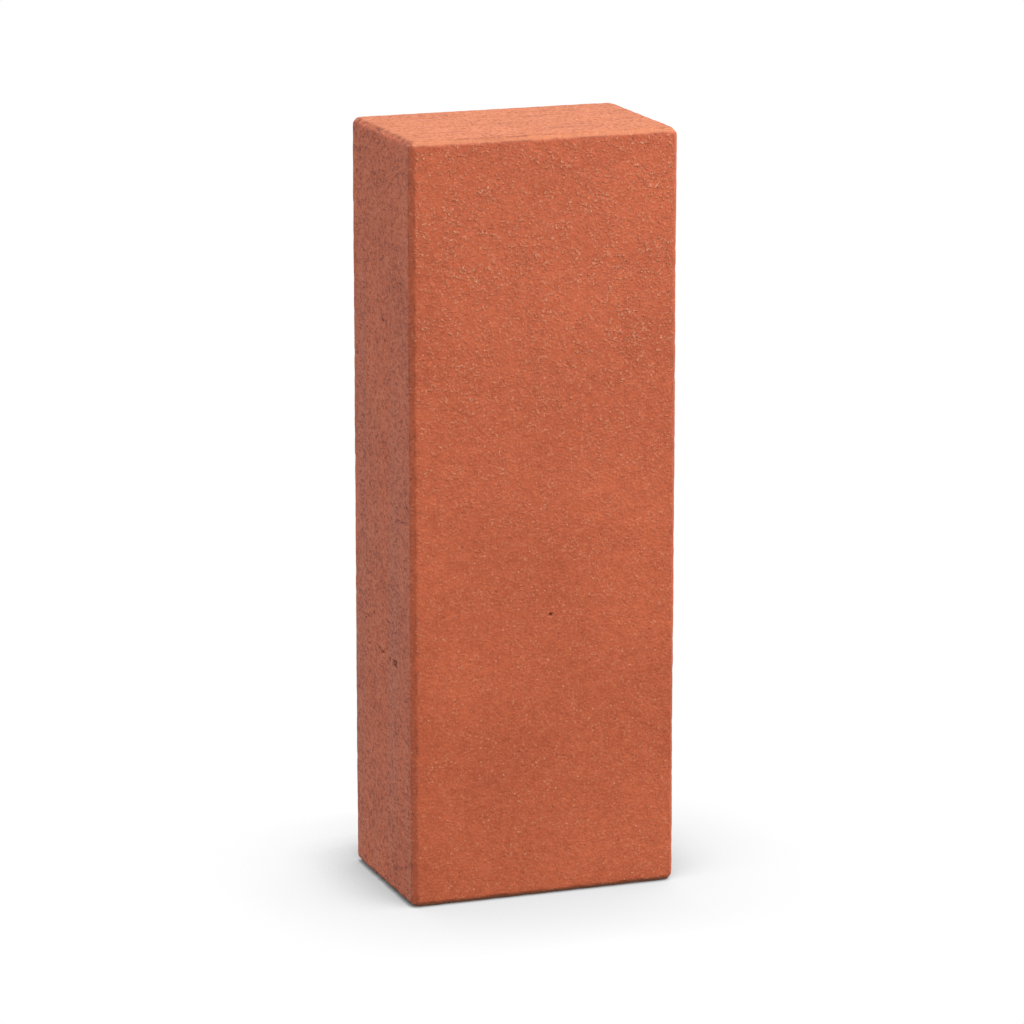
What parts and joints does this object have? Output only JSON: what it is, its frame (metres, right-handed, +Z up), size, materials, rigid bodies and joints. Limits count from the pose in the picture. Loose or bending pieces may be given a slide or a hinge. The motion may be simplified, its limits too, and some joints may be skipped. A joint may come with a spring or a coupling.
{
  "type": "clay paver",
  "caption": "Solid brick-shaped paver of fired red clay with sandy faces and bevelled edges, standing on its end, for paths, terraces and edging.",
  "frame": {"origin": "centre of the lower end, on the surface that the paver stands on", "axes": "+Z up along the length, +X across the width, +Y through the thickness from the wearing face to the bed face"},
  "size_m": [0.078, 0.05, 0.215],
  "materials": {
    "fired_clay": "unglazed orange-red fired clay, matt and sandy"
  },
  "bodies": {
    "root": {"paver": "fired_clay"}
  },
  "joints": []
}
